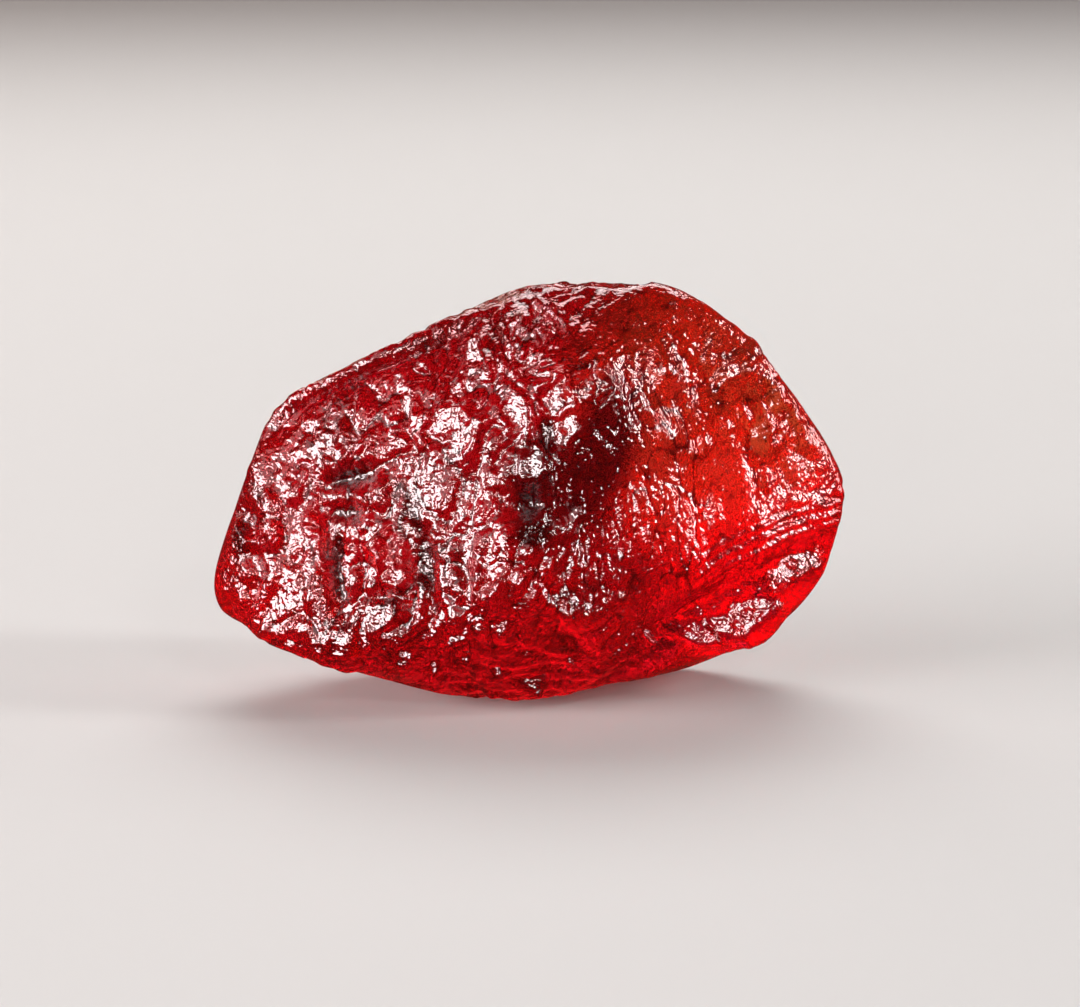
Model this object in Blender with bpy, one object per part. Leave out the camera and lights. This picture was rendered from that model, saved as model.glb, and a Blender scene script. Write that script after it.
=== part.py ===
# A rough red sapphire: one waterworn crystal that stands on a small flat on its underside.
#
# The body is a rounded polyhedron. Each worn face is a plane at its own distance from the centre,
# and a power sum blends the planes, so that the edges between them are rounded as water wears them.
# Relief then lifts or sinks the skin along its own normal: upright etched furrows, scalloped bowls,
# single lumps and pits, and one split that parts a lobe from the body at the lower right.
# The front, -Y, is the side with the boldest furrows. Lengths are in millimetres until the mesh is made.

import math

import bmesh
import bpy
import numpy as np
from mathutils import Vector

MM = 0.001

# Driving dimensions, in millimetres
SIZE = Vector((22.0, 12.8, 14.3))  # the box that the cells of the mesh are spread over
CELL = 0.57  # side of one cell of the mesh
EDGE_POWER = 28  # higher is a sharper edge between worn faces
REST_CUT = -6.95  # height of the flat underside, from the centre of the body
TILT = math.radians(10)  # how far the outline's plane leans back

# Worn faces around the outline: angle from +X in degrees, distance from the centre
OUTLINE_FACES = [
    (-8, 11.4),
    (22, 10.4),
    (40, 9.1),
    (61, 8.5),
    (90, 7.1),
    (115.5, 6.4),
    (159, 9.1),
    (205, 11.7),
    (237, 9.5),
    (255, 7.5),
    (279, 7.1),
    (296, 8.2),
    (317, 9.8),
    (337, 10.75),
]

# Worn faces of the front and the back: outward direction, distance from the centre
BROAD_FACES = [
    ((-0.34, -0.92, 0.20), 5.8),  # left front, which catches most of the light
    ((-0.05, -0.80, 0.60), 6.2),  # upper front
    ((0.46, -0.88, 0.12), 5.8),  # right front
    ((-0.12, -0.80, -0.58), 7.3),  # lower front
    ((0.46, -0.80, -0.40), 6.8),  # front of the lobe
    ((-0.80, -0.58, 0.05), 9.6),  # rounded edge at the left end
    ((-0.28, 0.92, 0.25), 5.6),
    ((0.28, 0.84, 0.45), 6.0),
    ((0.47, 0.88, -0.05), 6.2),
    ((-0.05, 0.84, -0.54), 6.2),
    ((-0.66, 0.64, -0.40), 8.5),
]

# Etched furrows and scallops: spacing across X, Y and Z, and depth
# They fade towards the stone's edges, where water has worn the skin smooth.
FURROWS = {"spacing": (2.6, 2.6, 6.5), "depth": 0.14, "waves": 26, "seed": 11}
SWELLS = {"spacing": (6.0, 6.0, 6.0), "depth": 0.13, "waves": 18, "seed": 4}
SCALLOPS = {"spacing": (1.9, 1.9, 3.8), "depth": 0.26, "sway": 0.25}
FURROW_LEAN = 0.28  # how far the furrows lean to the left, per unit of height, at the right end
EDGE_RELIEF = 0.4  # share of the relief that is left at the edges

# Single lumps and pits of the front, in the outline's plane:
# distance across and up from the centre, half width, half height, lean to the left in degrees, lift
FRONT_MARKS = [
    (-2.4, 1.7, 0.95, 0.95, 0, 0.34),  # broad swelling left of the middle
    (-1.7, 4.2, 0.50, 0.65, 8, 0.22),
    (0.6, 5.5, 0.70, 0.60, 20, 0.24),
    (1.1, 3.0, 0.55, 0.50, -20, 0.38),  # knob
    (0.7, 1.9, 0.42, 0.95, 5, -0.36),  # hollow below the knob
    (-0.4, 2.1, 0.42, 1.15, 4, 0.26),
    (0.3, 0.6, 0.48, 0.50, -25, 0.30),
    (0.0, -0.5, 0.50, 0.45, 0, -0.46),  # deepest pit
    (2.4, 3.5, 0.42, 0.75, 3, 0.26),
    (4.7, 3.9, 0.45, 0.70, 8, 0.22),
    (4.7, 1.9, 0.45, 0.75, -10, 0.25),
    (7.0, 4.0, 0.45, 0.65, -35, 0.22),
    (8.2, 1.8, 0.45, 0.65, 15, 0.22),
    (-5.9, 0.4, 0.95, 0.36, 12, -0.34),  # two slots that lie across the furrows
    (-5.8, -0.8, 0.85, 0.34, -6, -0.26),
    (-9.7, -1.7, 0.42, 1.15, 0, -0.26),
    (-8.6, -1.4, 0.42, 1.30, 4, 0.24),
    (-7.2, -2.0, 0.42, 1.20, 8, 0.24),
    (-6.4, -2.6, 0.40, 1.60, 5, -0.36),  # long furrow
    (-5.6, -2.4, 0.40, 1.20, 2, 0.16),
    (-4.7, -2.4, 0.40, 1.60, 18, 0.36),  # boldest ridge
    (-3.5, -2.5, 0.45, 1.60, 4, -0.30),
    (-2.2, -2.4, 0.45, 1.50, 0, -0.20),
    (-1.1, -2.6, 0.50, 1.30, -2, 0.30),
    (-4.2, -5.6, 0.45, 0.65, -5, 0.28),
    (1.4, -1.3, 0.42, 0.70, -15, 0.22),
    (1.4, -4.1, 0.85, 0.55, -20, 0.24),
    (3.8, -0.7, 0.45, 0.85, 10, 0.20),
    (7.1, -4.2, 1.20, 0.50, 28, 0.36),  # crown of the lobe
    (6.0, -5.1, 0.50, 0.42, 0, 0.22),
]

# The split at the lower right: its path in the outline's plane, its half width and depth
SPLIT_PATH = [(2.4, -7.2), (4.0, -5.7), (5.5, -4.3), (7.3, -3.1), (9.1, -2.3), (10.9, -1.9)]
SPLIT_WIDTH = 0.50
SPLIT_DEPTH = 0.45
SPLIT_STEP = 0.22  # how much lower the lobe's side lies
SPLIT_REACH = 1.5  # how far from the split that step dies away

STONE_COLOR = (0.55, 0.012, 0.02, 1.0)
STONE_ROUGHNESS = 0.12
STONE_IOR = 1.77


def unit(rows):
    return rows / np.linalg.norm(rows, axis=-1, keepdims=True)


def smooth_step(x, low, high):
    """0 below low, 1 above high and a smooth rise between them."""
    t = np.clip((x - low) / (high - low), 0, 1)
    return t * t * (3 - 2 * t)


def outline_plane():
    """The two axes of the outline's plane, across and up. The plane leans back by TILT."""
    return np.array([[1, 0, 0], [0, math.sin(TILT), math.cos(TILT)]])


def worn_faces():
    """Normals and distances of every worn face."""
    angles = np.radians([angle for angle, _ in OUTLINE_FACES])
    outline = np.stack([np.cos(angles), np.sin(angles)], axis=1) @ outline_plane()
    broad = unit(np.array([normal for normal, _ in BROAD_FACES]))
    distances = [distance for _, distance in OUTLINE_FACES + BROAD_FACES]
    return np.vstack([outline, broad]), np.array(distances)


def worn_body(directions):
    """Points of the bare body along these directions, and its outward normals there.

    A face's reach along a direction is 1 over the distance to its plane. The body's own reach is
    the power sum of them all, and its normal is the slope of that sum.
    """
    normals, distances = worn_faces()
    reach = np.maximum(directions @ normals.T / distances, 0)
    total = (reach**EDGE_POWER).sum(axis=1) ** (1 / EDGE_POWER)
    slope = (reach ** (EDGE_POWER - 1)) @ (normals / distances[:, None])
    return directions / total[:, None], unit(slope)


def waves(points, spacing, count, seed):
    """A smooth random field of unit size: a sum of plane waves, one in each random direction."""
    rng = np.random.default_rng(seed)
    directions = unit(rng.normal(size=(count, 3)))
    shifts = rng.uniform(0, 2 * math.pi, count)
    phase = 2 * math.pi * (points / np.array(spacing)) @ directions.T + shifts
    return np.cos(phase).sum(axis=1) * math.sqrt(2 / count)


def cell_random(cells, channel):
    """A repeatable number from 0 to 1 for each cell of a lattice."""
    mixed = cells @ np.array([73856093, 19349663, 83492791]) + channel * 40503
    mixed = ((mixed ^ (mixed >> 13)) * 1274126177) & 0x7FFFFFFF
    return ((mixed ^ (mixed >> 15)) & 0xFFFF) / 0xFFFF


def scallops(points, spacing):
    """Bowls that meet in sharp ridges: 0 in the middle of a bowl and about 1 on a ridge."""
    scaled = points / np.array(spacing)
    home = np.floor(scaled).astype(np.int64)
    nearest = np.full(len(points), 9.0)
    for step in np.ndindex(3, 3, 3):
        cell = home + np.array(step) - 1
        centre = cell + np.stack([cell_random(cell, channel) for channel in range(3)], axis=1)
        nearest = np.minimum(nearest, ((scaled - centre) ** 2).sum(axis=1))
    return np.clip(nearest, 0, 1)


def leaned(points):
    """The points with the furrows' lean taken out, from none left of the middle to all at the right end."""
    x, y, z = points.T
    return np.stack([x + FURROW_LEAN * z * smooth_step(x, -2, 8), y, z], axis=1)


def marks(points):
    """Height of the front's single lumps and pits, each a bell over a leaned ellipse."""
    across, up = outline_plane() @ points.T
    height = np.zeros(len(points))
    for x, y, half_width, half_height, lean, lift in FRONT_MARKS:
        turn = math.radians(lean)
        wide = (across - x) * math.cos(turn) + (up - y) * math.sin(turn)
        tall = (up - y) * math.cos(turn) - (across - x) * math.sin(turn)
        height += lift * np.exp(-((wide / half_width) ** 2) - (tall / half_height) ** 2)
    return height


def split(points):
    """Height of the split: a groove along its path, and a step down to the lobe's side of it."""
    path = np.array(SPLIT_PATH)
    flat = points @ outline_plane().T
    nearest = np.full(len(points), np.inf)
    side = np.zeros(len(points))
    for start, end in zip(path[:-1], path[1:]):
        run = end - start
        share = np.clip((flat - start) @ run / (run @ run), 0, 1)
        offset = flat - start - share[:, None] * run
        distance = np.linalg.norm(offset, axis=1)
        below = run[1] * offset[:, 0] - run[0] * offset[:, 1]
        closer = distance < nearest
        nearest = np.where(closer, distance, nearest)
        side = np.where(closer, np.sign(below), side)
    signed = nearest * side
    groove = -SPLIT_DEPTH * np.exp(-((signed / SPLIT_WIDTH) ** 2))
    lobe_side = smooth_step(signed, -0.2, 0.6) * np.exp(-np.maximum(signed, 0) / SPLIT_REACH)
    return groove - SPLIT_STEP * lobe_side


def relief(points, normals):
    """Height of the skin over the bare body."""
    grain = leaned(points)
    furrows = waves(grain, FURROWS["spacing"], FURROWS["waves"], FURROWS["seed"])
    swells = waves(points, SWELLS["spacing"], SWELLS["waves"], SWELLS["seed"])
    bowls = scallops(grain + SCALLOPS["sway"] * furrows[:, None], SCALLOPS["spacing"]) - 0.5
    etched = FURROWS["depth"] * furrows + SWELLS["depth"] * swells + SCALLOPS["depth"] * bowls
    facing = smooth_step(abs(normals[:, 1]), 0.2, 0.7)
    front = smooth_step(-normals[:, 1], 0.05, 0.5)
    edge_share = EDGE_RELIEF + (1 - EDGE_RELIEF) * facing
    return edge_share * etched + front * (marks(points) + split(points))


def grid_box(bm):
    """A box of SIZE whose faces are grids of nearly square cells."""
    bmesh.ops.create_cube(bm, size=1)
    bmesh.ops.scale(bm, vec=SIZE, verts=bm.verts)
    for axis in range(3):
        across = [e for e in bm.edges if abs((e.verts[0].co - e.verts[1].co)[axis]) > CELL]
        cuts = round(SIZE[axis] / CELL) - 1
        bmesh.ops.subdivide_edges(bm, edges=across, cuts=cuts, use_grid_fill=True)


def shape_stone(bm):
    """Moves the box's vertices onto the worn body and its relief."""
    box = np.array([v.co for v in bm.verts])
    points, normals = worn_body(unit(box))
    points += normals * relief(points, normals)[:, None]
    for vertex, point in zip(bm.verts, points):
        vertex.co = point


def cut_rest_face(bm):
    """Cuts the underside off flat, so that the stone stands."""
    cut = bmesh.ops.bisect_plane(
        bm,
        geom=bm.verts[:] + bm.edges[:] + bm.faces[:],
        plane_co=(0, 0, REST_CUT),
        plane_no=(0, 0, -1),
        clear_outer=True,
    )
    rim = [e for e in cut["geom_cut"] if isinstance(e, bmesh.types.BMEdge)]
    bmesh.ops.holes_fill(bm, edges=rim)


def stand_at_origin(bm):
    """Puts the middle of the box around the stone over the origin, and its underside at height 0."""
    corners = np.array([v.co for v in bm.verts])
    low, high = corners.min(axis=0), corners.max(axis=0)
    middle = (low + high) / 2
    bmesh.ops.translate(bm, vec=(-middle[0], -middle[1], -low[2]), verts=bm.verts)


def stone_material():
    material = bpy.data.materials.new("red_sapphire")
    material.use_nodes = True
    shader = material.node_tree.nodes["Principled BSDF"]
    shader.inputs["Base Color"].default_value = STONE_COLOR
    shader.inputs["Roughness"].default_value = STONE_ROUGHNESS
    shader.inputs["Metallic"].default_value = 0.0
    shader.inputs["IOR"].default_value = STONE_IOR
    shader.inputs["Transmission Weight"].default_value = 1.0
    return material


def build_stone():
    bm = bmesh.new()
    grid_box(bm)
    shape_stone(bm)
    cut_rest_face(bm)
    stand_at_origin(bm)
    bmesh.ops.scale(bm, vec=(MM, MM, MM), verts=bm.verts)
    bmesh.ops.triangulate(bm, faces=bm.faces)
    bmesh.ops.recalc_face_normals(bm, faces=bm.faces)
    mesh = bpy.data.meshes.new("sapphire")
    bm.to_mesh(mesh)
    bm.free()
    mesh.materials.append(stone_material())
    return bpy.data.objects.new("sapphire", mesh)


def main():
    for obj in list(bpy.data.objects):
        bpy.data.objects.remove(obj)
    collection = bpy.data.collections.new("sapphire")
    bpy.context.scene.collection.children.link(collection)
    collection.objects.link(build_stone())


main()
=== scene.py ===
import math

import bpy
import numpy as np
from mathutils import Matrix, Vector


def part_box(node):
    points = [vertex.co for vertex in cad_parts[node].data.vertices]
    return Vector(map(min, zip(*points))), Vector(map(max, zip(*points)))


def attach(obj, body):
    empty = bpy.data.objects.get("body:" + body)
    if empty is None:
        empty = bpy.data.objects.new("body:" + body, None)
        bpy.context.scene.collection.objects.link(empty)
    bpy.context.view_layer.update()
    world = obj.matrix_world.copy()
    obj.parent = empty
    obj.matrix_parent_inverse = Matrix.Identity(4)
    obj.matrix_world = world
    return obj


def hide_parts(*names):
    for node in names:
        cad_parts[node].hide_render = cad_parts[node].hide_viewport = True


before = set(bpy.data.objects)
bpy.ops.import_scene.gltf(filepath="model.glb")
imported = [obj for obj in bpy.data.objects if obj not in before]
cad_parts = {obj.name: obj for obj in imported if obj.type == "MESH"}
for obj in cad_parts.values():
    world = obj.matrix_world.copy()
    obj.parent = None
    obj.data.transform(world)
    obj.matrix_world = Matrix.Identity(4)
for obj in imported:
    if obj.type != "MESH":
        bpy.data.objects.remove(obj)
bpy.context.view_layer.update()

mm = 0.001

# The stone's worn body, in millimetres from its centre, as the frame has it
body = {
    "cell": (0.11, 0.18, 0.11),  # sides of one cell of the skin, finest on the front
    "size": (22.0, 12.8, 14.3),
    "edgePower": 28,  # higher is a sharper edge between worn faces
    "restCut": -6.95,  # height of the flat underside
    "tilt": math.radians(10),  # how far the outline's plane leans back
    "outlineFaces": [  # angle from +X in degrees, distance from the centre
        (-8, 11.4), (22, 10.4), (40, 9.1), (61, 8.5), (90, 7.1), (115.5, 6.4), (159, 9.1),
        (205, 11.7), (237, 9.5), (255, 7.5), (279, 7.1), (296, 8.2), (317, 9.8), (337, 10.75),
    ],
    "broadFaces": [  # outward direction, distance from the centre
        ((-0.34, -0.92, 0.20), 5.8), ((-0.05, -0.80, 0.60), 6.2), ((0.46, -0.88, 0.12), 5.8),
        ((-0.12, -0.80, -0.58), 7.3), ((0.46, -0.80, -0.40), 6.8), ((-0.80, -0.58, 0.05), 9.6),
        ((-0.28, 0.92, 0.25), 5.6), ((0.28, 0.84, 0.45), 6.0), ((0.47, 0.88, -0.05), 6.2),
        ((-0.05, 0.84, -0.54), 6.2), ((-0.66, 0.64, -0.40), 8.5),
    ],
}

# Etching over the whole skin: spacing across X, Y and Z and depth, in millimetres.
# "rightFace" is the share of a layer that the flatter right face loses
etching = {
    "furrows": {"spacing": (2.6, 2.6, 6.5), "depth": 0.11, "waves": 26, "seed": 11, "rightFace": 0.3},
    "swells": {"spacing": (6.0, 6.0, 6.0), "depth": 0.12, "waves": 18, "seed": 4},
    "bowls": {"spacing": (1.9, 1.9, 3.8), "depth": 0.11, "sway": 0.25},
    "hillocks": {"spacing": (0.95, 0.95, 2.0), "depth": 0.10, "waves": 30, "seed": 21, "rightFace": 0.8},
    "wrinkles": {"spacing": (0.44, 0.44, 0.65), "depth": 0.024, "waves": 34, "seed": 8, "rightFace": 0.4},
    "drops": {"spacing": (0.90, 0.90, 1.20), "radius": 0.36, "share": 0.34, "lift": 0.15},
    "dropShares": (0.2, 0.8, 1.1),  # of their lift: everywhere, more on the right face, more on the low band
    "streaks": {"spacing": (2.6, 2.6, 0.36), "depth": 0.034, "waves": 24, "seed": 5},
    "foldMean": 0.75,  # mean height of the hillocks' and wrinkles' folded waves
    "warp": 0.22,  # how far the large layers bend the small ones
    "lean": 0.28,  # how far the furrows lean to the left, per unit of height, at the right end
    "leanSpan": (-2, 8),  # across, from upright to that lean
    "rimRoll": 0.30,  # how far the front rolls back at the left end
    "edgeRelief": 0.7,  # share of the large relief that is left at the worn edges
    "fineEdgeRelief": 0.6,  # the same for the hillocks, wrinkles and drops
    "edgeRise": 0.02,  # nothing stands further than this out of the worn edges
    "markGain": 1.4,  # the frame's stone has the same marks, blunted by its coarser cells
}

# The front leans back above the line from the first point to the second, and fades out at its right end
shoulder = {"from": (-9.0, 0.9), "to": (-1.5, 4.0), "slope": 0.36, "rounding": 0.1, "fade": 1.5}

# Where each part of the stone starts and is full: the first two by the way that the skin faces,
# the others in millimetres past the split, down, to the left and across
parts = {
    "facing": (0.12, 0.5),
    "front": (0.05, 0.5),
    "lobe": (0.0, 0.8),
    "lowBand": (5.0, 5.9),
    "leftRim": (8.8, 10.2),
    "rightFace": (0.5, 4.0),
}
calm = {"lobe": 0.56, "lowBand": 0.42, "leftRim": 0.70}  # share of the fine relief that each of them loses

# Painted shade in the creases: how near to the fold of a wave, how far down a mark or a streak, and how dark
paintedShadeSettings = {
    "hillockFold": 0.30,
    "wrinkleFold": 0.28,
    "wrinkleShare": 0.8,
    "markDip": (0.10, 0.36),
    "streakDip": (0.7, 1.6),
    "streakShare": 0.6,
}

# Single lumps and pits of the front, in the outline's plane, in millimetres:
# across, up, half width, half height, lean to the left in degrees, lift
frontMarks = [
    (-2.4, 1.7, 0.95, 0.95, 0, 0.34),
    (-1.7, 4.2, 0.50, 0.65, 8, 0.22),
    (0.6, 5.5, 0.70, 0.60, 20, 0.24),
    (1.1, 3.0, 0.60, 0.55, -20, 0.24),  # knob
    (0.7, 1.9, 0.42, 0.95, 5, -0.36),  # hollow below the knob
    (-0.4, 2.1, 0.42, 1.15, 4, 0.20),
    (0.3, 0.6, 0.48, 0.50, -25, 0.30),
    (0.0, -0.5, 0.50, 0.45, 0, -0.46),  # deepest pit
    (2.4, 3.5, 0.42, 0.75, 3, 0.26),
    (4.7, 3.9, 0.45, 0.70, 8, 0.22),
    (4.7, 1.9, 0.45, 0.75, -10, 0.25),
    (7.0, 4.0, 0.45, 0.65, -35, 0.22),
    (8.2, 1.8, 0.45, 0.65, 15, 0.22),
    (-5.9, 0.4, 0.95, 0.36, 12, -0.34),
    (-5.8, -0.8, 0.85, 0.34, -6, -0.26),
    (-9.7, -1.7, 0.42, 1.15, 0, -0.26),
    (-8.6, -1.4, 0.42, 1.30, 4, 0.24),
    (-7.2, -2.0, 0.42, 1.20, 8, 0.24),
    (-6.4, -2.6, 0.40, 1.60, 5, -0.36),  # long furrow
    (-5.6, -2.4, 0.40, 1.20, 2, 0.16),
    (-4.7, -2.4, 0.40, 1.60, 18, 0.36),  # boldest ridge
    (-3.5, -2.5, 0.45, 1.60, 4, -0.30),
    (-2.2, -2.4, 0.45, 1.50, 0, -0.20),
    (-1.1, -2.6, 0.50, 1.30, -2, 0.30),
    (-4.2, -5.6, 0.50, 0.60, -5, 0.26),
    (1.4, -1.3, 0.42, 0.70, -15, 0.22),
    (1.4, -4.1, 0.85, 0.55, -20, 0.24),
    (3.8, -0.7, 0.45, 0.85, 10, 0.08),
    (7.3, -4.8, 1.35, 0.72, 28, 0.40),  # crown of the lobe
    (6.0, -5.1, 0.50, 0.42, 0, 0.22),
]

# Worn flats that catch a lamp
flatShape = {
    "edge": (0.85, 1.3),  # a flat fades out between these shares of its half sizes
    "reach": (0.28, 0.26),  # the most it cuts or fills: the first, plus the second times its half width
    "leastSlant": 0.3,  # cosine of the angle past which a flat stops getting steeper
    "ragged": {"spacing": (0.85, 0.85, 0.85), "waves": 20, "seed": 31},  # sways the flats' edges
    "raggedDepth": 0.10,
    "raggedShift": 3.7,  # millimetres between the sway across and the sway up
    "hillocksLost": 0.7,  # share of the hillocks that the flats lose
    "wrinklesKept": 0.4,
}
leftward, forward, rightward = (-32, 10), (-1, 9), (39, 18)  # azimuth and elevation, in degrees

# Across, up, half width, half height and lean as above, then the way that each flat faces, and its lift
wornFlats = [
    (-1.75, 4.50, 0.33, 0.55, 5, leftward, 0.10),
    (0.41, 6.00, 0.28, 0.38, 0, leftward, 0.12),
    (1.07, 5.45, 0.28, 0.45, 10, leftward, 0.12),
    (-0.52, 5.30, 0.22, 0.45, 0, leftward, 0.10),
    (0.95, 2.95, 0.42, 0.38, -15, leftward, 0.12),
    (1.38, 2.00, 0.22, 0.50, 0, leftward, 0.10),
    (-0.34, 2.45, 0.40, 0.95, 5, leftward, 0.08),
    (0.31, 0.76, 0.36, 0.55, -20, leftward, 0.16),
    (2.34, 3.44, 0.24, 0.60, 3, forward, 0.14),
    (-2.40, 1.96, 0.85, 0.75, 0, leftward, 0.16),
    (-4.33, 1.60, 0.26, 0.60, 10, leftward, 0.06),
    (-3.60, 2.05, 0.26, 0.70, 0, leftward, 0.10),
    (-6.25, 1.20, 0.45, 0.28, -10, leftward, 0.06),
    (-3.57, -0.30, 0.42, 0.95, 5, leftward, 0.10),
    (-8.20, 0.00, 0.40, 0.45, 0, leftward, 0.06),
    (-7.10, -1.70, 0.25, 0.80, 12, leftward, 0.12),
    (-5.40, -1.55, 0.50, 0.30, 0, leftward, 0.12),
    (-4.43, -2.75, 0.28, 0.85, 12, leftward, 0.20),
    (-5.98, -2.60, 0.26, 0.75, 0, leftward, 0.12),
    (-1.00, -2.25, 0.36, 1.10, -5, leftward, 0.14),
    (-1.30, 0.10, 0.30, 0.60, 5, leftward, 0.10),
    (-8.00, -3.50, 0.45, 0.70, 10, leftward, 0.08),
    (-4.95, -4.30, 0.70, 0.42, 15, leftward, 0.14),
    (-4.15, -5.60, 0.26, 0.32, 0, (-28, 1), 0.05),
    (-3.57, -3.55, 0.26, 0.55, 0, leftward, 0.08),
    (-2.20, -4.70, 0.16, 0.45, -30, leftward, 0.12),
    (1.17, -3.90, 0.20, 0.70, 20, forward, 0.16),
    (1.58, -1.00, 0.16, 0.50, -20, forward, 0.12),
    (4.64, 2.15, 0.28, 0.50, 0, rightward, 0.12),
    (6.90, 4.00, 0.28, 0.38, -30, rightward, 0.12),
    (8.30, 1.60, 0.28, 0.35, 0, rightward, 0.10),
    (-2.15, -5.70, 0.24, 0.22, 0, (-26, 2), 0.03),
    (0.25, -6.50, 0.36, 0.14, 20, (-3, 3), -0.02),
    (3.20, -5.30, 0.40, 0.14, 35, (-1, 5), 0.02),
    (-3.10, -6.10, 0.16, 0.12, 0, (-8, 4), 0.00),
    (-0.95, -6.05, 0.18, 0.12, 10, (-3, 4), 0.00),
    (1.30, -5.70, 0.16, 0.14, 20, (-3, 4), 0.01),
    (2.30, -6.15, 0.20, 0.10, 30, (-3, 4), 0.00),
    (4.30, -5.15, 0.18, 0.12, 30, (-1, 4), 0.01),
    (-10.00, -2.40, 0.60, 1.40, 0, (-49, 5), 0.00),
    (9.10, 2.40, 0.20, 1.70, 36, (59, 17), 0.06),
    (7.40, -4.25, 1.05, 0.52, 25, (2, 9), 0.24),
    (6.00, -5.05, 0.40, 0.30, 10, (-2, 9), 0.20),
]

# Finer lumps and pits, too small for the frame's stone, written as the single ones are
fineMarks = [
    (-6.0, -2.1, 0.16, 0.60, 4, 0.10),
    (-5.5, -2.5, 0.19, 0.75, 3, -0.14),
    (-5.1, -3.6, 0.50, 0.17, 0, -0.14),
    (-8.4, -4.0, 0.17, 0.50, 10, 0.11),
    (-7.8, -3.8, 0.15, 0.55, 12, 0.11),
    (-7.3, -3.8, 0.15, 0.50, 5, 0.11),
    (-6.7, -3.4, 0.16, 0.60, 5, 0.11),
    (-0.45, 5.2, 0.25, 0.45, 8, 0.13),
    (1.05, 5.4, 0.28, 0.45, 15, 0.15),
    (0.0, 3.9, 0.55, 0.35, 0, -0.16),
    (1.4, 2.1, 0.15, 0.45, -8, 0.13),
    (-0.25, 2.3, 0.17, 0.50, 0, -0.13),
    (5.5, 2.8, 0.17, 0.38, 0, 0.13),
    (4.0, 3.8, 0.17, 0.30, 0, -0.12),
    (5.4, 4.7, 0.18, 0.18, 0, 0.11),
    (6.4, 3.3, 0.17, 0.23, 0, 0.11),
    (5.05, 6.5, 0.22, 0.35, 35, 0.10),
    (6.3, -0.9, 0.18, 0.50, 0, 0.12),
    (9.1, -0.4, 0.30, 0.20, -20, 0.11),
    (-0.7, -1.3, 0.26, 0.30, -15, 0.14),
    (1.0, -3.3, 0.16, 0.50, -30, 0.11),
    (-2.3, -5.8, 0.24, 0.24, 0, 0.20),
    (-3.1, -5.0, 0.22, 0.32, -20, 0.18),
    (-2.0, -5.2, 0.22, 0.34, -30, 0.18),
    (1.2, -5.4, 0.30, 0.26, 0, 0.18),
    (0.25, -6.8, 0.35, 0.14, 5, 0.06),
    (2.8, -6.1, 0.90, 0.13, 38, 0.08),
    (2.65, -5.3, 0.80, 0.50, 0, 0.10),
    (6.05, -4.45, 0.55, 0.12, 12, 0.08),
    (6.3, -4.7, 0.25, 0.20, 0, -0.10),
]

# The split at the lower right, in the outline's plane, with the fine grooves that run beside it
split = {
    "path": [(2.4, -7.2), (4.0, -5.7), (5.5, -4.3), (7.3, -3.1), (9.1, -2.3), (10.9, -1.9)],
    "width": 0.50,
    "depth": 0.45,
    "step": 0.22,
    "stepSpan": (-0.2, 0.6),
    "reach": 1.5,
    "grooveSpacing": 0.36,
    "grooveDepth": 0.05,
    "grooveNear": (0.1, 0.4),  # the grooves fade in and out at these distances from the split
    "grooveFar": (1.2, 2.0),
    "grooveStart": (5.0, 6.5),  # and start here, across
}


def unit(rows):
    return rows / np.linalg.norm(rows, axis=-1, keepdims=True)


def smoothStep(x, low, high):
    # 3t^2 - 2t^3, with t the share of the way from low to high
    t = np.clip((x - low) / (high - low), 0, 1)
    return t * t * (3 - 2 * t)


def outlinePlane():
    # Across is +X, up leans back by the tilt
    return np.array([[1, 0, 0], [0, math.sin(body["tilt"]), math.cos(body["tilt"])]])


def boxGrid(cells, size):
    # Six grids of two parameters, which make the skin of a box. Corner (i, j, k) lies at
    # size * (i, j, k) / cells - size / 2
    quads = []
    for axis in range(3):
        u, v = (axis + 1) % 3, (axis + 2) % 3
        i, j = np.meshgrid(np.arange(cells[u]), np.arange(cells[v]), indexing="ij")
        for side, steps in ((0, ((0, 0), (0, 1), (1, 1), (1, 0))), (1, ((0, 0), (1, 0), (1, 1), (0, 1)))):
            corners = np.full(i.shape + (4, 3), side * cells[axis])
            for corner, (du, dv) in enumerate(steps):
                corners[..., corner, u] = i + du
                corners[..., corner, v] = j + dv
            quads.append(corners.reshape(-1, 3))
    lattice, index = np.unique(np.concatenate(quads), axis=0, return_inverse=True)
    return (lattice / cells - 0.5) * size, index.reshape(-1, 4)


def wornBody(directions):
    # Reach of face f along d is max(d . n / a, 0), with n its normal and a its distance.
    # Point = d / (sum of reach^p)^(1/p), normal = slope of that sum
    angles = np.radians([angle for angle, _ in body["outlineFaces"]])
    outline = np.stack([np.cos(angles), np.sin(angles)], axis=1) @ outlinePlane()
    normals = np.vstack([outline, unit(np.array([normal for normal, _ in body["broadFaces"]]))])
    distances = np.array([distance for _, distance in body["outlineFaces"] + body["broadFaces"]])
    power = body["edgePower"]
    reach = np.maximum(directions @ normals.T / distances, 0)
    total = (reach**power).sum(axis=1) ** (1 / power)
    slope = (reach ** (power - 1)) @ (normals / distances[:, None])
    return directions / total[:, None], unit(slope)


def waves(points, layer):
    # Sum of plane waves cos(2 pi (p / spacing) . d + shift), d random directions, scaled to unit size
    rng = np.random.default_rng(layer["seed"])
    directions = unit(rng.normal(size=(layer["waves"], 3)))
    shifts = rng.uniform(0, 2 * math.pi, layer["waves"])
    phase = 2 * math.pi * (points / np.array(layer["spacing"])) @ directions.T + shifts
    return np.cos(phase).sum(axis=1) * math.sqrt(2 / layer["waves"])


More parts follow.
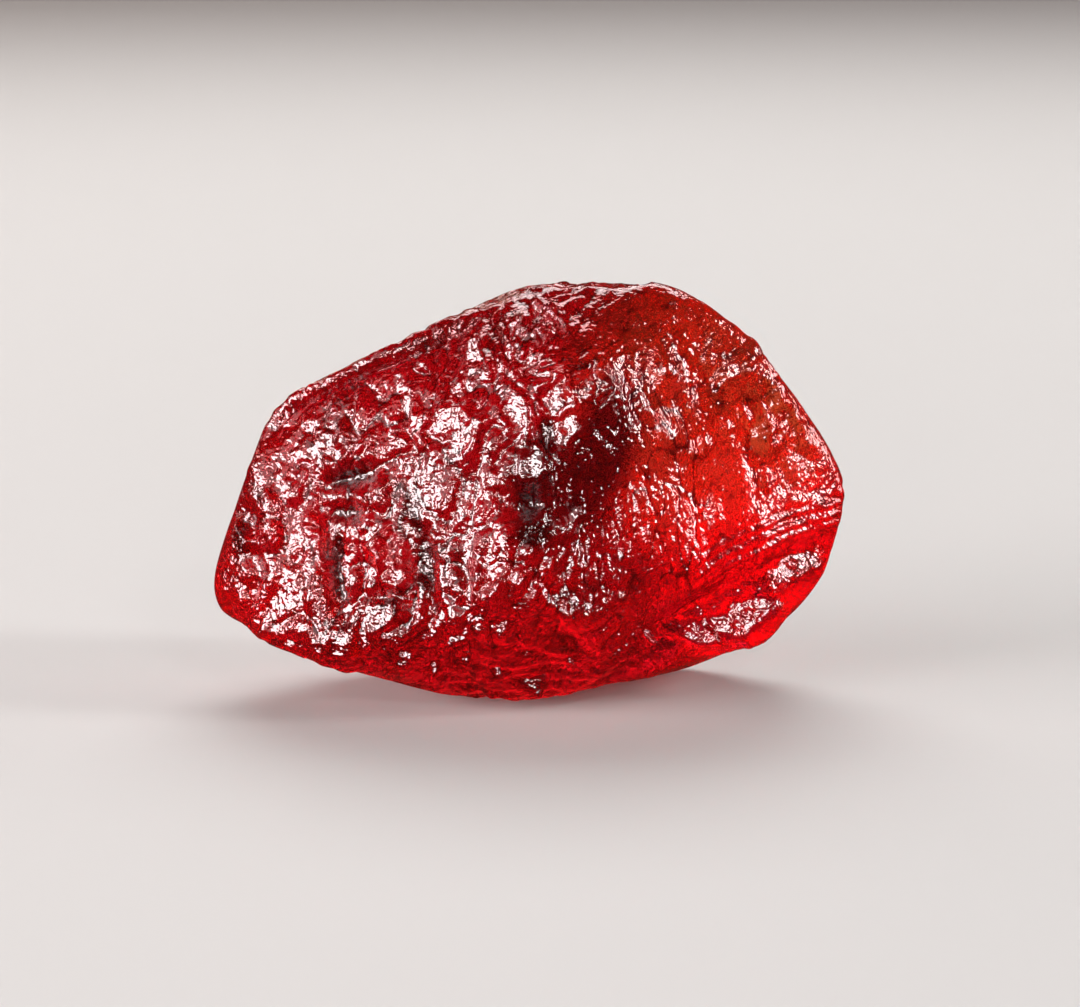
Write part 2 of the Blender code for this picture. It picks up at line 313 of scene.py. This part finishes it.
def cellRandom(cells, channel):
    # A repeatable number from 0 to 1 for each cell, by mixing the bits of its indices
    mixed = cells @ np.array([73856093, 19349663, 83492791]) + channel * 40503
    mixed = ((mixed ^ (mixed >> 13)) * 1274126177) & 0x7FFFFFFF
    return ((mixed ^ (mixed >> 15)) & 0xFFFF) / 0xFFFF


def nearestCentre(points, spacing, share=1.0):
    # Squared distance, in cells, to the nearest of one random centre in each chosen cell
    scaled = points / np.array(spacing)
    home = np.floor(scaled).astype(np.int64)
    nearest = np.full(len(points), np.inf)
    for step in np.ndindex(3, 3, 3):
        cell = home + np.array(step) - 1
        centre = cell + np.stack([cellRandom(cell, channel) for channel in range(3)], axis=1)
        gap = ((scaled - centre) ** 2).sum(axis=1)
        nearest = np.where((cellRandom(cell, 3) < share) & (gap < nearest), gap, nearest)
    return nearest


def marks(across, up, rows):
    # Sum of bells: lift * exp(-(wide / half width)^2 - (tall / half height)^2)
    height = np.zeros(len(across))
    for x, y, halfWidth, halfHeight, lean, lift in rows:
        turn = math.radians(lean)
        wide = (across - x) * math.cos(turn) + (up - y) * math.sin(turn)
        tall = (up - y) * math.cos(turn) - (across - x) * math.sin(turn)
        height += lift * np.exp(-((wide / halfWidth) ** 2) - (tall / halfHeight) ** 2)
    return height


def splitDistance(across, up):
    # Distance to the split's path, positive on the lobe's side
    path = np.array(split["path"])
    flat = np.stack([across, up], axis=1)
    nearest = np.full(len(across), np.inf)
    side = np.zeros(len(across))
    for start, end in zip(path[:-1], path[1:]):
        run = end - start
        share = np.clip((flat - start) @ run / (run @ run), 0, 1)
        offset = flat - start - share[:, None] * run
        distance = np.linalg.norm(offset, axis=1)
        closer = distance < nearest
        nearest = np.where(closer, distance, nearest)
        side = np.where(closer, np.sign(run[1] * offset[:, 0] - run[0] * offset[:, 1]), side)
    return nearest * side


def splitRelief(across, signed):
    # Groove -depth * exp(-(d / width)^2), a step down past it, and cosine grooves on the body's side
    groove = -split["depth"] * np.exp(-((signed / split["width"]) ** 2))
    lobeSide = smoothStep(signed, *split["stepSpan"]) * np.exp(-np.maximum(signed, 0) / split["reach"])
    beside = smoothStep(-signed, *split["grooveNear"]) * smoothStep(across, *split["grooveStart"])
    beside *= smoothStep(signed, -split["grooveFar"][1], -split["grooveFar"][0])
    fine = np.cos(2 * math.pi * signed / split["grooveSpacing"])
    return groove - split["step"] * lobeSide + split["grooveDepth"] * beside * fine


def flattened(height, points, normals, across, up, front):
    # Within each flat the height runs to a plane through its lifted middle: (middle - p) . f / (n . f)
    flatness = np.zeros(len(across))
    inner, outer = flatShape["edge"]
    least, perWidth = flatShape["reach"]
    for x, y, halfWidth, halfHeight, lean, (azimuth, elevation), lift in wornFlats:
        turn, a, e = (math.radians(angle) for angle in (lean, azimuth, elevation))
        wide = (across - x) * math.cos(turn) + (up - y) * math.sin(turn)
        tall = (up - y) * math.cos(turn) - (across - x) * math.sin(turn)
        window = front * smoothStep(-np.hypot(wide / halfWidth, tall / halfHeight), -outer, -inner)
        facing = np.array([math.sin(a) * math.cos(e), -math.cos(a) * math.cos(e), math.sin(e)])
        nearest = np.argmin(np.where(front < 0.5, np.inf, np.hypot(across - x, up - y)))
        middle = points[nearest] + lift * normals[nearest]
        limit = least + perWidth * halfWidth
        slant = np.maximum(normals @ facing, flatShape["leastSlant"])
        reach = np.clip((middle - points) @ facing / slant, -limit, limit)
        height = height * (1 - window) + reach * window
        flatness = np.maximum(flatness, window)
    return height, flatness


def shoulderRelief(across, up):
    # -slope * (d + sqrt(d^2 + rounding)) / 2, with d the distance above the line,
    # fading out past its right end
    (x0, y0), (x1, y1) = shoulder["from"], shoulder["to"]
    run = math.hypot(x1 - x0, y1 - y0)
    above = ((x1 - x0) * (up - y0) - (y1 - y0) * (across - x0)) / run
    along = ((x1 - x0) * (across - x0) + (y1 - y0) * (up - y0)) / run
    rounded = (above + np.sqrt(above**2 + shoulder["rounding"])) / 2
    return -shoulder["slope"] * rounded * smoothStep(-along, -run - shoulder["fade"], -run + shoulder["fade"])


def folded(points, layer):
    # Absolute value of the waves, so that they meet in sharp creases at 0
    return np.abs(waves(points, layer))


def relief(points, normals):
    # Height of the skin over the worn body, each layer times the share it has of that place,
    # and how much painted crease shade each point gets
    across, up = outlinePlane() @ points.T
    x, y, z = points.T
    furrow, swell, bowl, hillock, wrinkle, drop, streak = (
        etching[name] for name in ("furrows", "swells", "bowls", "hillocks", "wrinkles", "drops", "streaks")
    )
    grain = np.stack([x + etching["lean"] * z * smoothStep(x, *etching["leanSpan"]), y, z], axis=1)
    furrows = waves(grain, furrow)
    swells = waves(points, swell)
    bowls = np.clip(nearestCentre(grain + bowl["sway"] * furrows[:, None], bowl["spacing"]), 0, 1)
    warped = grain + etching["warp"] * np.stack([swells, furrows, swells * furrows], axis=1)
    hillocks = folded(warped, hillock)
    wrinkles = folded(warped, wrinkle)
    drops = np.maximum(1 - nearestCentre(warped, drop["spacing"], drop["share"]) / drop["radius"] ** 2, 0)
    streaks = waves(points, streak)

    facing = smoothStep(abs(normals @ np.cross(*outlinePlane())), *parts["facing"])
    front = smoothStep(-normals[:, 1], *parts["front"])
    signed = splitDistance(across, up)
    lobe = front * smoothStep(signed, *parts["lobe"])
    lowBand = front * smoothStep(-up, *parts["lowBand"])
    leftRim = smoothStep(-across, *parts["leftRim"])
    rightFace = smoothStep(across, *parts["rightFace"])
    still = np.maximum(np.maximum(calm["lobe"] * lobe, calm["lowBand"] * lowBand), calm["leftRim"] * leftRim)

    height = furrow["depth"] * furrows * (1 - furrow["rightFace"] * rightFace) + swell["depth"] * swells
    height += bowl["depth"] * (bowls - 0.5)
    height *= etching["edgeRelief"] + (1 - etching["edgeRelief"]) * facing
    single = etching["markGain"] * marks(across, up, frontMarks) + marks(across, up, fineMarks)
    height += front * (single + splitRelief(across, signed) + shoulderRelief(across, up))
    height -= etching["rimRoll"] * leftRim * front
    swayAcross, swayUp = (
        flatShape["raggedDepth"] * waves(points + shift, flatShape["ragged"])
        for shift in (0, flatShape["raggedShift"])
    )
    height, flat = flattened(height, points, normals, across + swayAcross, up + swayUp, front)

    fineShare = (1 - still) * (etching["fineEdgeRelief"] + (1 - etching["fineEdgeRelief"]) * facing)
    hillockShare = fineShare * (1 - hillock["rightFace"] * rightFace) * (1 - flatShape["hillocksLost"] * flat)
    wrinkleShare = fineShare * (1 - wrinkle["rightFace"] * rightFace) + flatShape["wrinklesKept"] * flat
    everywhere, moreRight, moreLow = etching["dropShares"]
    dropShare = (fineShare * (everywhere + moreRight * rightFace) + moreLow * lowBand) * (1 - flat)
    height += hillock["depth"] * (hillocks - etching["foldMean"]) * hillockShare
    height += wrinkle["depth"] * (wrinkles - etching["foldMean"]) * wrinkleShare
    height += drop["lift"] * drops * dropShare
    height += streak["depth"] * streaks * lowBand
    height = facing * height + (1 - facing) * np.minimum(height, etching["edgeRise"])

    # Painted shade: darker in the folds of the hillocks and wrinkles, in the marks' pits and in the low
    # band's grooves
    hillockShade = smoothStep(-hillocks, -paintedShadeSettings["hillockFold"], 0)
    wrinkleShade = paintedShadeSettings["wrinkleShare"] * smoothStep(-wrinkles, -paintedShadeSettings["wrinkleFold"], 0)
    dipShade = front * smoothStep(-single, *paintedShadeSettings["markDip"])
    lowBandShade = paintedShadeSettings["streakShare"] * lowBand * smoothStep(-streaks, *paintedShadeSettings["streakDip"])
    paintedCreaseShade = np.maximum(np.maximum(hillockShade, wrinkleShade) * fineShare, np.maximum(dipShade, lowBandShade))
    return height, paintedCreaseShade


def stoneSkin():
    # Points of the whole skin in metres, its quads and its painted crease shade, standing where the frame's
    # stone stands
    size = np.array(body["size"])
    cells = np.round(size / np.array(body["cell"])).astype(int)
    box, quads = boxGrid(cells, size)
    points, normals = wornBody(unit(box))
    height, paintedCreaseShade = relief(points, normals)
    points += normals * height[:, None]
    sunk = points[:, 2] < body["restCut"]
    points[sunk] *= (body["restCut"] / points[sunk, 2])[:, None]
    middle = (points.min(axis=0) + points.max(axis=0)) / 2
    low, high = (np.array(corner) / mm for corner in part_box("sapphire"))
    place = (low + high) / 2 - middle
    place[2] = -body["restCut"]
    return (points + place) * mm, quads, paintedCreaseShade


def meshObject(name, points, quads):
    mesh = bpy.data.meshes.new(name)
    mesh.from_pydata(points, [], quads)
    mesh.shade_smooth()
    piece = bpy.data.objects.new(name, mesh)
    bpy.context.scene.collection.objects.link(piece)
    return piece


def linear(code):
    # sRGB hex to linear red, green, blue and alpha
    values = [int(code[i : i + 2], 16) / 255 for i in (1, 3, 5)]
    return [v / 12.92 if v <= 0.04045 else ((v + 0.055) / 1.055) ** 2.4 for v in values] + [1]


def addNode(tree, kind, inputs, **settings):
    # Adds a node, sets its own settings, and gives each input a value or links it to another node's output
    node = tree.nodes.new(kind)
    for name, value in settings.items():
        setattr(node, name, value)
    for socket, value in inputs.items():
        if isinstance(value, bpy.types.NodeSocket):
            tree.links.new(value, node.inputs[socket])
        else:
            node.inputs[socket].default_value = value
    return node


corundum = {
    "crimson": "#ee1a34",
    "paintedGlowAndShade": [  # painted glow and shade zones: middle in millimetres, half sizes, lean to the right in degrees, colour
        # painted glow: orange over the right side, where light from behind would shine through the thin stone
        ((6.6, -3.0, 10.4), (6.6, 9.0, 6.2), 0, "#ff7a42"),
        # painted shade: a darker crimson that dims the glow of the lower right
        ((7.6, -2.0, 3.4), (5.4, 6.0, 4.6), 0, "#b4142e"),
        # painted shade: dark maroon along the middle valley
        ((2.4, -5.2, 9.0), (1.9, 3.2, 4.6), 22, "#480512"),
        # painted shade: dark maroon around the block above the deepest pit
        ((0.4, -5.4, 8.2), (1.6, 2.2, 2.2), 0, "#480512"),
        # painted shade: a deeper red over the downward-facing low band
        ((-1.0, -4.0, 1.2), (9.0, 6.0, 2.8), 0, "#a80a22"),
        # painted shade: near black in the deepest pit
        ((0.1, -5.6, 6.5), (1.1, 1.8, 0.8), 0, "#1c0206"),
    ],
    "bumpShare": (1.0, 0.8),  # of the pits and grain, at the left and at the right
    "bumpSpan": (-1.0, 4.0),  # millimetres across, from the first to the second
    "mottleSize": 2.2,  # millimetres across one patch of the uneven colour
    "mottleSpan": (0.4, 0.65),  # of the noise, from crimson to the mottle
    "mottle": "#b40e24",
    "zoneFade": 0.6,  # share of a zone's half size over which it fades in
    "paintedCreaseShade": "#180106",  # painted shade in the creases, pits and low-band grooves
    "paintedShadeShare": 0.96,
    "ior": 1.768,
    "transmission": 0.96,  # the rest is scattered just under the skin, by fine inclusions
    "roughness": (0.05, 0.12),  # over this span of the mottle's noise
    "roughnessSpan": (0.3, 0.7),
    "absorptionDensity": 300,
    "absorptionColor": (0.952, 0.56, 0.50, 1),
    "pitSize": 0.30,  # millimetres, etch pits
    "pitDepth": 0.030,
    "grainSize": 0.18,  # millimetres, coarser than the real grain so that it shows
    "grainDepth": 0.055,
}


def colourOutput(node):
    return next(socket for socket in node.outputs if socket.type == "RGBA")


def corundumColour(tree, place):
    # Crimson with an uneven mottle, then each zone of painted glow or shade as a soft ball that fades from
    # its middle
    scale = 1 / (corundum["mottleSize"] * mm)
    patches = addNode(tree, "ShaderNodeTexNoise", {"Vector": place, "Scale": scale, "Detail": 3})
    start, end = corundum["mottleSpan"]
    share = addNode(
        tree,
        "ShaderNodeMapRange",
        {"Value": patches.outputs["Fac"], "From Min": start, "From Max": end},
    )
    colour = colourOutput(
        addNode(
            tree,
            "ShaderNodeMix",
            {0: share.outputs["Result"], 6: linear(corundum["crimson"]), 7: linear(corundum["mottle"])},
            data_type="RGBA",
        )
    )
    for middle, halfSizes, lean, code in corundum["paintedGlowAndShade"]:
        local = addNode(
            tree,
            "ShaderNodeMapping",
            {
                "Vector": place,
                "Location": [m * mm for m in middle],
                "Rotation": (0, math.radians(lean), 0),
                "Scale": [h * mm for h in halfSizes],
            },
            vector_type="TEXTURE",
        )
        ball = addNode(
            tree,
            "ShaderNodeTexGradient",
            {"Vector": local.outputs["Vector"]},
            gradient_type="SPHERICAL",
        )
        weight = addNode(
            tree,
            "ShaderNodeMapRange",
            {"Value": ball.outputs["Fac"], "From Min": 0.0, "From Max": corundum["zoneFade"]},
            interpolation_type="SMOOTHSTEP",
        )
        mix = addNode(
            tree,
            "ShaderNodeMix",
            {0: weight.outputs["Result"], 6: colour, 7: linear(code)},
            data_type="RGBA",
        )
        colour = colourOutput(mix)
    # Painted shade: the creases darken towards a near black
    paintedCreaseShade = addNode(tree, "ShaderNodeAttribute", {}, attribute_name="paintedCreaseShade")
    weight = addNode(
        tree,
        "ShaderNodeMath",
        {0: paintedCreaseShade.outputs["Fac"], 1: corundum["paintedShadeShare"]},
        operation="MULTIPLY",
    )
    mix = addNode(
        tree,
        "ShaderNodeMix",
        {0: weight.outputs["Value"], 6: colour, 7: linear(corundum["paintedCreaseShade"])},
        data_type="RGBA",
    )
    return colourOutput(mix), patches.outputs["Fac"]


def corundumMaterial():
    # Red corundum, etched and waterworn: glassy and very refractive, so it glitters from every small face,
    # with a skin of fine pits that breaks the lamps' reflections into grains
    material = bpy.data.materials.new("red corundum, etched and waterworn")
    material.use_nodes = True
    tree = material.node_tree
    shader = tree.nodes["Principled BSDF"]
    shader.inputs["IOR"].default_value = corundum["ior"]
    shader.inputs["Transmission Weight"].default_value = corundum["transmission"]
    place = addNode(tree, "ShaderNodeTexCoord", {}).outputs["Object"]
    colour, patches = corundumColour(tree, place)
    tree.links.new(colour, shader.inputs["Base Color"])
    low, high = corundum["roughness"]
    start, end = corundum["roughnessSpan"]
    haze = addNode(
        tree,
        "ShaderNodeMapRange",
        {"Value": patches, "From Min": start, "From Max": end, "To Min": low, "To Max": high},
    )
    tree.links.new(haze.outputs["Result"], shader.inputs["Roughness"])
    across = addNode(tree, "ShaderNodeSeparateXYZ", {"Vector": place}).outputs["X"]
    left, right = corundum["bumpSpan"]
    depth = addNode(
        tree,
        "ShaderNodeMapRange",
        {
            "Value": across,
            "From Min": left * mm,
            "From Max": right * mm,
            "To Min": corundum["bumpShare"][0],
            "To Max": corundum["bumpShare"][1],
        },
        interpolation_type="SMOOTHSTEP",
    ).outputs["Result"]
    pitScale, grainScale = (1 / (corundum[name] * mm) for name in ("pitSize", "grainSize"))
    pits = addNode(tree, "ShaderNodeTexVoronoi", {"Vector": place, "Scale": pitScale})
    grain = addNode(tree, "ShaderNodeTexNoise", {"Vector": place, "Scale": grainScale, "Detail": 1})
    fine = addNode(
        tree,
        "ShaderNodeBump",
        {"Strength": depth, "Height": grain.outputs["Fac"], "Distance": corundum["grainDepth"] * mm},
    )
    coarse = addNode(
        tree,
        "ShaderNodeBump",
        {
            "Strength": depth,
            "Height": pits.outputs["Distance"],
            "Distance": corundum["pitDepth"] * mm,
            "Normal": fine.outputs["Normal"],
        },
    )
    tree.links.new(coarse.outputs["Normal"], shader.inputs["Normal"])
    absorb = addNode(
        tree,
        "ShaderNodeVolumeAbsorption",
        {"Color": corundum["absorptionColor"], "Density": corundum["absorptionDensity"]},
    )
    tree.links.new(absorb.outputs["Volume"], tree.nodes["Material Output"].inputs["Volume"])
    return material


points, quads, paintedCreaseShade = stoneSkin()
stone = meshObject("rough_sapphire", points, quads)
# The painted crease shade goes onto the skin as a point attribute
stone.data.attributes.new("paintedCreaseShade", "FLOAT", "POINT").data.foreach_set("value", paintedCreaseShade.astype(np.float32))
stone.data.materials.append(corundumMaterial())
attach(stone, "root")
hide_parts("sapphire")
print("stone made:", len(quads) * 2, "triangles")

studio = {
    "floorSize": 3.0,  # metres
    "floorColor": "#d9d7d4",
    "roomColor": "#a04038",
    "roomStrength": 0.35,
    "lens": 160,
    "sensor": 36,
    "frameWidth": 37.125,  # millimetres across the picture, at the stone
    "elevation": math.radians(10),
    "stoneCentre": (-0.02, 0.17),  # millimetres, where the worn body's centre stands
    "aimRight": 0.378,  # millimetres beside and below that centre, where the camera aims
    "aimDown": 0.464,
    "lampTarget": (0, 0, 7),  # millimetres
    "lamps": [  # name, azimuth, elevation, distance, width and height in metres, watts, colour
        ("key softbox, left front", -64, 8, 0.40, 0.34, 0.18, 2.8, "#fff4f6"),
        ("strip softbox, right", 80, 18, 0.40, 0.07, 0.20, 0.8, "#ffffff"),
        ("small softbox, front", 18, 28, 0.40, 0.05, 0.05, 0.15, "#ffffff"),
        ("low strip, front", -2, 7, 0.40, 0.18, 0.09, 0.70, "#ffffff"),
        ("overhead softbox, back", 182, 46, 0.30, 0.26, 0.18, 0.60, "#ffffff"),
        ("low softbox, back", 205, 20, 0.45, 0.25, 0.10, 0.08, "#ffe6d4"),
        ("left back softbox", -115, 15, 0.45, 0.12, 0.12, 0.1, "#ffffff"),
        ("right rim softbox", 118, 9, 0.45, 0.16, 0.14, 0.40, "#ffffff"),
        ("large dim screen, left front", -40, 24, 0.45, 0.34, 0.40, 0.45, "#ffffff"),
    ],
}


def makeFloor():
    half = studio["floorSize"] / 2
    corners = np.array([(-half, -half, 0), (half, -half, 0), (half, half, 0), (-half, half, 0)])
    floor = meshObject("floor", corners, np.array([[0, 1, 2, 3]]))
    material = bpy.data.materials.new("matt paper sweep")
    material.use_nodes = True
    shader = material.node_tree.nodes["Principled BSDF"]
    shader.inputs["Base Color"].default_value = linear(studio["floorColor"])
    shader.inputs["Roughness"].default_value = 0.6
    floor.data.materials.append(material)
    floor.visible_glossy = False  # the stone mirrors only the lamps and the dark room, as dark reds need


def aimed(thing, place, target):
    thing.location = place
    thing.rotation_mode = "QUATERNION"
    thing.rotation_quaternion = (Vector(target) - Vector(place)).to_track_quat("-Z", "Y")


def softbox(name, azimuth, elevation, distance, width, height, watts, color):
    # A flat lamp that looks at the stone, azimuth from the camera's side towards +X
    lamp = bpy.data.lights.new(name, "AREA")
    lamp.shape = "RECTANGLE"
    lamp.size, lamp.size_y = width, height
    lamp.energy = watts
    lamp.color = linear(color)[:3]
    holder = bpy.data.objects.new(name, lamp)
    bpy.context.scene.collection.objects.link(holder)
    a, e = math.radians(azimuth), math.radians(elevation)
    target = Vector(studio["lampTarget"]) * mm
    away = Vector((math.sin(a) * math.cos(e), -math.cos(a) * math.cos(e), math.sin(e)))
    aimed(holder, target + away * distance, target)


def makeLights():
    for lamp in studio["lamps"]:
        softbox(*lamp)
    world = bpy.data.worlds.new("studio air")
    bpy.context.scene.world = world
    world.use_nodes = True
    world.node_tree.nodes["Background"].inputs["Color"].default_value = linear(studio["roomColor"])
    world.node_tree.nodes["Background"].inputs["Strength"].default_value = studio["roomStrength"]
    world.cycles_visibility.diffuse = False  # the floor stays neutral


def makeCamera():
    camera = bpy.data.objects.new("camera", bpy.data.cameras.new("camera"))
    bpy.context.scene.collection.objects.link(camera)
    camera.data.lens = studio["lens"]
    camera.data.sensor_width = studio["sensor"]
    camera.data.clip_start = 0.005
    tilt, elevation = body["tilt"], studio["elevation"]
    up = Vector((0, math.sin(tilt), math.cos(tilt)))
    across, back = studio["stoneCentre"]
    middle = Vector((across * mm, back * mm, -body["restCut"] * mm))
    target = middle + Vector((studio["aimRight"] * mm, 0, 0)) - up * studio["aimDown"] * mm
    away = Vector((0, -math.cos(elevation), math.sin(elevation)))
    aimed(camera, target + away * studio["frameWidth"] * mm * studio["lens"] / studio["sensor"], target)
    bpy.context.scene.camera = camera


makeFloor()
makeLights()
makeCamera()
print("floor, lamps and camera placed")

scene = bpy.context.scene
scene.view_settings.view_transform = "Standard"
scene.cycles.max_bounces = 9
scene.cycles.transmission_bounces = 9
scene.cycles.glossy_bounces = 6
scene.cycles.use_denoising = True
scene.cycles.use_adaptive_sampling = True
scene.cycles.adaptive_threshold = 0.06
scene.cycles.adaptive_min_samples = 16
